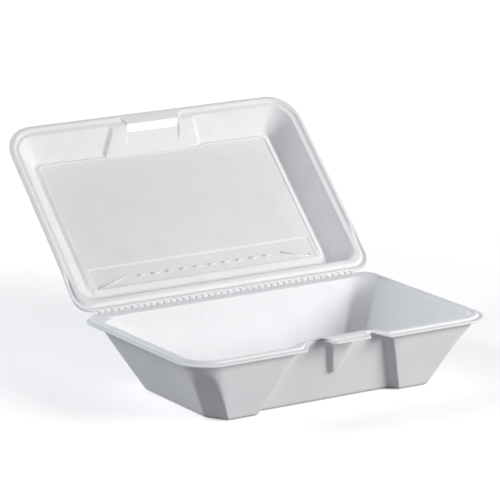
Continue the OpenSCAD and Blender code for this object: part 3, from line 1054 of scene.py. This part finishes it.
@dataclass
class PanelSheet:
    """The lid's panel inside its raised border, with the field for the signs pressed in beside the fold."""

    lid: Lid
    field_half: float = 89.5
    field_low: float = 25.6
    field_top: float = 42.3
    field_deep: float = 0.5
    field_edge: float = 0.35
    bevel_top: float = 25.1
    bevel_deep: float = 1.1
    side_inset: float = 4.4
    front_inset: float = 3.75
    back_inset: float = 3.3
    thick: float = 1.2
    deepest: float = 1.7
    plain_start: float = 46.0
    plain_rows: int = 12
    sharp_deg: float = 65.0
    boss_share: float = 0.5
    name: str = "lid_panel"

    @property
    def start(self) -> float:
        """Return the distance of the panel's near edge from the fold."""
        return self.lid.hinge_y - self.lid.panel_back + self.back_inset

    def columns(self) -> list[float]:
        """Return the grid's columns, close together at the field's ends and the boss.

        Returns:
            X from left to right.
        """
        end, edge = self.field_half, self.field_edge
        boss = self.lid.boss_foot_half
        right = [0.0, 8.0, 16.0, 24.0, 31.0, boss - 2.5, boss, boss + 4.0, 52.0, 62.0, 72.0, 80.0, 85.0,
                 end - 3 * edge, end - edge, end, end + edge, end + 3 * edge, self.lid.panel_half - self.side_inset]
        return [-x for x in reversed(right[1:])] + right

    def rows(self) -> list[float]:
        """Return the grid's rows, close together at the field's long edges.

        Returns:
            Distances from the fold.
        """
        low, top, edge, plain = self.field_low, self.field_top, self.field_edge, self.plain_start
        stop = self.lid.hinge_y + self.lid.panel_front - self.front_inset
        near = [self.start, mix(self.start, self.bevel_top, 0.5), self.bevel_top - edge, low - edge, low, low + edge,
                low + 3 * edge, 29.0, 32.0, 37.0, top - 3 * edge, top - edge, top, top + edge, top + 3 * edge, plain]
        return near + [mix(plain, stop, i / self.plain_rows) for i in range(1, self.plain_rows + 1)]

    def depth(self, x: float, v: float) -> float:
        """Return how deep the field or the bevel along the fold lies at a place on the panel.

        Args:
            x: Place along the fold.
            v: Distance from the fold.

        Returns:
            Depth below the panel.
        """
        inside = min(self.field_half - abs(x), v - self.field_low, self.field_top - v)
        bevel = self.bevel_deep * max(0.0, (self.bevel_top - v) / (self.bevel_top - self.start))
        return bevel + self.field_deep * smooth(0.5 + inside / (2 * self.field_edge))

    def bulge(self, x: float) -> float:
        """Return how far the boss pushes the panel's front edge in at an X."""
        share = (self.lid.boss_foot_half - abs(x)) / self.lid.boss_flank
        return self.lid.boss_deep * self.boss_share * min(1.0, max(0.0, share))

    def build(self) -> Piece:
        """Build the panel as a closed plate, with its back hidden in the lid's wall.

        Returns:
            The plate, standing open.
        """
        across, up = self.columns(), self.rows()
        n, m = len(across), len(up)
        points = []
        for v in up:
            reach = max(0.0, (v - self.plain_start) / (up[-1] - self.plain_start))
            points += [(x, self.lid.hinge_y - v + self.bulge(x) * reach, self.lid.panel_z + self.depth(x, v))
                       for x in across]
        back = [(x, y, min(z + self.thick, self.lid.panel_z + self.deepest)) for x, y, z in points]
        faces: list[Face] = [(k, k + 1, k + n + 1, k + n) for k in range(n * (m - 1)) if (k + 1) % n]
        faces += [tuple(i + n * m for i in reversed(face)) for face in faces]
        loop = [*range(n), *range(2 * n - 1, n * m, n), *range(n * m - 2, n * (m - 1) - 1, -1),
                *range(n * (m - 2), 0, -n)]
        faces += [(b, a, a + n * m, b + n * m) for a, b in zip(loop, loop[1:] + loop[:1])]
        plate = mesh_piece(self.name, self.lid.opened(np.array(points + back)), faces)
        plate.data.set_sharp_from_angle(angle=math.radians(self.sharp_deg))
        return plate


# Section of a raised line as shares of its width and height, and the places across a web as shares of its half width
SIGN_PROFILE = ((-0.5, -0.3), (-0.46, 0.1), (-0.3, 0.75), (0.0, 1.0), (0.3, 0.75), (0.46, 0.1), (0.5, -0.3))
WEB_SIDES = (-1.0, -0.82, -0.4, 0.4, 0.82, 1.0)


@dataclass
class PressedSigns:
    """Raised lines in the lid's sign field: two arrows and plain dashes between them."""

    lid: Lid
    sheet: PanelSheet
    line: float = 1.9
    high: float = 0.48
    arrow_inner: tuple[float, float] = (63.0, 33.2)
    arrow_tip: tuple[float, float] = (87.6, 25.7)
    barb: tuple[float, float] = (3.4, 2.0)
    dash: float = 6.4
    dash_pitch: float = 11.4
    dash_count: int = 10
    dash_v: float = 32.3
    name: str = "lid_signs"

    @property
    def base_z(self) -> float:
        """Return the height of the field's ground in the closed lid."""
        return self.lid.panel_z + self.sheet.field_deep

    def paths(self) -> list[Points]:
        """Return the arrows' lines on the panel.

        Returns:
            Each line's points: X along the fold and distance from it.
        """
        lines = []
        for side in (-1.0, 1.0):
            tail = np.array([side * self.arrow_inner[0], self.arrow_inner[1]])
            tip = np.array([side * self.arrow_tip[0], self.arrow_tip[1]])
            away = (tail - tip) / np.linalg.norm(tail - tip)
            back, across = self.barb[0] * away, self.barb[1] * np.array([-away[1], away[0]])
            lines += [np.array([tail, tip]), np.array([tip + back + across, tip, tip + back - across])]
        return lines

    def strip(self, path: Points) -> tuple[Points, list[Face]]:
        """Return the points and faces of one raised line with a rounded top.

        Args:
            path: The line's points on the panel.

        Returns:
            Points in the closed lid's place and faces.
        """
        rows = []
        for spot, across in zip(path, square_steps(path)):
            for s, h in SIGN_PROFILE:
                x, v = spot + across * s * self.line
                rows.append((x, self.lid.hinge_y - v, self.base_z - h * self.high))
        return np.array(rows), tube_faces(len(path), len(SIGN_PROFILE))

    def build(self) -> list[Piece]:
        """Build the signs.

        Returns:
            The line work and the row of dashes.
        """
        points, faces = np.empty((0, 3)), []
        for path in self.paths():
            more, sides = self.strip(path)
            faces += [tuple(i + len(points) for i in face) for face in sides]
            points = np.vstack([points, more])
        return [mesh_piece(self.name, self.lid.opened(points), faces), self.dashes()]

    def dashes(self) -> Piece:
        """Build the plain dashes between the arrows as a repeated row.

        Returns:
            The row of dashes.
        """
        points, faces = self.strip(np.array([(-self.dash / 2, 0.0), (self.dash / 2, 0.0)]))
        dash = mesh_piece("dash", points - np.array([0.0, self.lid.hinge_y, self.base_z]), faces)
        row = repeated_row("lid_dashes", dash, self.dash_count, self.dash_pitch)
        flat = np.array([v.co[:] for v in row.data.vertices]) / MM
        flat += np.array([0.0, self.lid.hinge_y - self.dash_v, self.base_z])
        row.data.vertices.foreach_set("co", (self.lid.opened(flat) * MM).ravel())
        row.data.update()
        return row


def repeated_row(name: str, shape: Piece, count: int, pitch: float) -> Piece:
    """Repeat a shape in a straight row along X with Geometry Nodes.

    Args:
        name: Name of the finished row.
        shape: Object that is repeated, at the origin.
        count: How many times.
        pitch: Distance between neighbours, in millimetres.

    Returns:
        The row as a plain mesh object.
    """
    tree = bpy.data.node_groups.new(name + "_row", "GeometryNodeTree")
    for label, kind in (("Count", "Int"), ("Pitch", "Float"), ("Shape", "Object")):
        tree.interface.new_socket(label, in_out="INPUT", socket_type="NodeSocket" + kind)
    tree.interface.new_socket("Row", in_out="OUTPUT", socket_type="NodeSocketGeometry")
    given = add_node(tree, "NodeGroupInput")
    gaps = add_node(tree, "ShaderNodeMath", {0: given.outputs["Count"], 1: 1.0}, operation="SUBTRACT")
    reach = add_node(
        tree, "ShaderNodeMath", {0: gaps.outputs[0], 1: given.outputs["Pitch"]}, operation="MULTIPLY")
    start = add_node(tree, "ShaderNodeMath", {0: reach.outputs[0], 1: -0.5}, operation="MULTIPLY")
    origin = add_node(tree, "ShaderNodeCombineXYZ", {"X": start.outputs[0]})
    step = add_node(tree, "ShaderNodeCombineXYZ", {"X": given.outputs["Pitch"]})
    line = add_node(
        tree, "GeometryNodeMeshLine",
        {"Count": given.outputs["Count"], "Start Location": origin.outputs[0], "Offset": step.outputs[0]},
        mode="OFFSET")
    copied = add_node(tree, "GeometryNodeObjectInfo", {"Object": given.outputs["Shape"]})
    placed = add_node(
        tree, "GeometryNodeInstanceOnPoints",
        {"Points": line.outputs["Mesh"], "Instance": copied.outputs["Geometry"]})
    real = add_node(tree, "GeometryNodeRealizeInstances", {"Geometry": placed.outputs["Instances"]})
    add_node(tree, "NodeGroupOutput", {0: real.outputs["Geometry"]})
    row = link(bpy.data.objects.new(name, bpy.data.meshes.new(name)))
    maker = row.modifiers.new("row", "NODES")
    maker.node_group = tree
    values = {"Count": count, "Pitch": pitch * MM, "Shape": shape}
    for item in tree.interface.items_tree:
        if item.in_out == "INPUT":
            maker[item.identifier] = values[item.name]
    apply_modifiers(row)
    bpy.data.objects.remove(shape)
    return row


@dataclass
class FoldWebs:
    """Foam webs left between the perforations of the fold, built bent to the lid's opening angle.

    Attributes:
        lid: The lid that the webs hold.
        long: Length of the perforated fold.
        pitch: Distance between the perforations.
        cut: Length of each perforation.
        thick: Thickness of the webs.
        thinning: Share of the thickness that is lost at their sides.
        tray_way: Steps in Y and Z from the fold to the webs' places on the tray.
        lid_way: Distance along the open lid, with the steps from there to the webs' places on it.
        name: Name of the piece.
    """

    lid: Lid
    long: float = 212.0
    pitch: float = 5.1
    cut: float = 1.6
    thick: float = 1.0
    thinning: float = 0.35
    tray_way: tuple[tuple[float, float], ...] = ((-1.5, -1.5), (-0.7, -1.25), (-0.1, -0.75), (0.2, -0.2))
    lid_way: tuple[tuple[float, float, float], ...] = ((0.7, 0.4, -0.3), (1.6, 0.45, -0.45))
    name: str = "fold_webs"

    def build(self) -> Piece:
        """Build the row of webs.

        Returns:
            The row in place.
        """
        half = (self.pitch - self.cut) / 2
        fold, turn = np.array([self.lid.hinge_y, self.lid.hinge_z]), math.radians(self.lid.open_deg)
        away = np.array([-math.cos(turn), math.sin(turn)])
        track = np.array([fold + np.array(step) for step in self.tray_way]
                         + [fold + away * far + np.array(step) for far, *step in self.lid_way])
        points = []
        for spot, up in zip(track, square_steps(track)):
            for face, order in ((0.5, WEB_SIDES), (-0.5, WEB_SIDES[::-1])):
                for s in order:
                    y, z = spot + up * self.thick * face * (1.0 - self.thinning * s ** 4)
                    points.append((s * half, y, z))
        web = mesh_piece("web", np.array(points), tube_faces(len(track), 2 * len(WEB_SIDES)))
        return repeated_row(self.name, web, int((self.long - self.cut) // self.pitch), self.pitch)


@dataclass(frozen=True)
class Lamp:
    """Soft round lamp aimed at the container.

    Attributes:
        name: Name of the lamp.
        bearing: Angle from the front towards +X, in degrees.
        rise: Angle above the floor, in degrees.
        away: Distance from the container, in metres.
        size: Diameter, in metres.
        power: Power, in watts.
        tint: Linear colour.
    """

    name: str
    bearing: float
    rise: float
    away: float
    size: float
    power: float
    tint: tuple[float, float, float] = (1.0, 1.0, 1.0)


@dataclass
class Studio:
    """White stage, soft lamps and the camera at the photograph's viewing angle."""

    azimuth: float = 30.8
    elevation: float = 13.56
    roll: float = -0.8
    distance: float = 2224.94
    shift_right: float = 24.74
    shift_up: float = -62.58
    target_z: float = 30.0
    focal_px: float = 3269.23
    frame_px: float = 500.0
    sensor: float = 36.0
    near_clip: float = 0.05
    lamp_aim: tuple[float, float, float] = (0.0, 0.04, 0.06)
    surround_tint: tuple[float, float, float, float] = (0.86, 0.92, 1.0, 1.0)
    surround_strength: float = 0.075
    floor_reach: float = 3.0
    lamps: tuple[Lamp, ...] = (
        Lamp("key_right_front", 33.0, 21.0, 1.7, 0.9, 25.8),
        Lamp("fill_left_back", -124.0, 26.0, 1.7, 1.0, 19.8, (0.92, 0.95, 1.0)),
    )

    def camera(self) -> None:
        """Create the camera."""
        az, el, roll = (math.radians(a) for a in (self.azimuth, self.elevation, self.roll))
        level = Vector((math.cos(az), -math.sin(az), 0.0))
        back = Vector((-math.sin(az) * math.cos(el), -math.cos(az) * math.cos(el), math.sin(el)))
        over = back.cross(level)
        right = level * math.cos(roll) + over * math.sin(roll)
        up = over * math.cos(roll) - level * math.sin(roll)
        place = (Vector((0.0, 0.0, self.target_z)) - right * self.shift_right - up * self.shift_up
                 + back * self.distance) * MM
        data = bpy.data.cameras.new("camera")
        data.sensor_width = self.sensor
        data.sensor_fit = "HORIZONTAL"
        data.lens = self.focal_px * self.sensor / self.frame_px
        data.clip_start = self.near_clip
        camera = link(bpy.data.objects.new("camera", data))
        matrix = Matrix((right, up, back)).transposed().to_4x4()
        matrix.translation = place
        camera.matrix_world = matrix
        bpy.context.scene.camera = camera

    def lights(self) -> None:
        """Create the soft lamps round the container."""
        for lamp in self.lamps:
            turn, lift = math.radians(lamp.bearing), math.radians(lamp.rise)
            course = Vector((math.sin(turn) * math.cos(lift), -math.cos(turn) * math.cos(lift), math.sin(lift)))
            data = bpy.data.lights.new(lamp.name, "AREA")
            data.shape = "DISK"
            data.size = lamp.size
            data.energy = lamp.power
            data.color = lamp.tint
            light = link(bpy.data.objects.new(lamp.name, data))
            light.location = Vector(self.lamp_aim) + course * lamp.away
            light.rotation_euler = course.to_track_quat("Z", "Y").to_euler()

    def world(self) -> None:
        """Set a dim grey surround that shows white to the camera."""
        world = bpy.data.worlds.new("surround")
        bpy.context.scene.world = world
        tree = empty_tree(world)
        path = add_node(tree, "ShaderNodeLightPath")
        seen = add_node(
            tree, "ShaderNodeMath",
            {0: path.outputs["Is Camera Ray"], 1: path.outputs["Is Glossy Ray"]}, operation="MAXIMUM")
        clear = add_node(
            tree, "ShaderNodeMath",
            {0: seen.outputs[0], 1: path.outputs["Is Transmission Ray"]}, operation="MAXIMUM")
        dim = add_node(
            tree, "ShaderNodeBackground", {"Color": self.surround_tint, "Strength": self.surround_strength})
        white = add_node(tree, "ShaderNodeBackground", {"Color": (1.0, 1.0, 1.0, 1.0), "Strength": 1.0})
        both = add_node(
            tree, "ShaderNodeMixShader",
            {0: clear.outputs[0], 1: dim.outputs[0], 2: white.outputs[0]})
        add_node(tree, "ShaderNodeOutputWorld", {"Surface": both.outputs[0]})

    def floor(self) -> None:
        """Create the white floor under the container."""
        data = bpy.data.meshes.new("floor")
        corners = [(x * self.floor_reach, y * self.floor_reach, 0.0) for x, y in ((-1, -1), (1, -1), (1, 1), (-1, 1))]
        data.from_pydata(corners, [], [(0, 1, 2, 3)])
        ground = link(bpy.data.objects.new("floor", data))
        dress(ground, StageFinish().build())

    def build(self) -> None:
        """Set up camera, lamps, surround, floor and colour handling."""
        self.camera()
        self.lights()
        self.world()
        self.floor()
        bpy.context.scene.view_settings.view_transform = "Standard"


def main() -> None:
    """Build the container's pieces, dress them and report each one."""
    foam = FoamFinish().build()
    Studio().build()
    tray = dress(Tray().build(), foam)
    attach(tray, Body.TRAY.value)
    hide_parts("tray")
    lid_form = Lid()
    lid = dress(lid_form.build(), foam)
    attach(lid, Body.LID.value)
    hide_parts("lid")
    sheet = PanelSheet(lid_form)
    signs = [dress(piece, foam) for piece in (sheet.build(), *PressedSigns(lid_form, sheet).build())]
    for piece in signs:
        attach(piece, Body.LID.value)
    webs = dress(FoldWebs(lid_form).build(), foam)
    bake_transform(webs)
    for piece in [tray, lid, webs, *signs]:
        LOG.info("%s: %d faces", piece.name, len(piece.data.polygons))


if __name__ == "__main__":
    main()
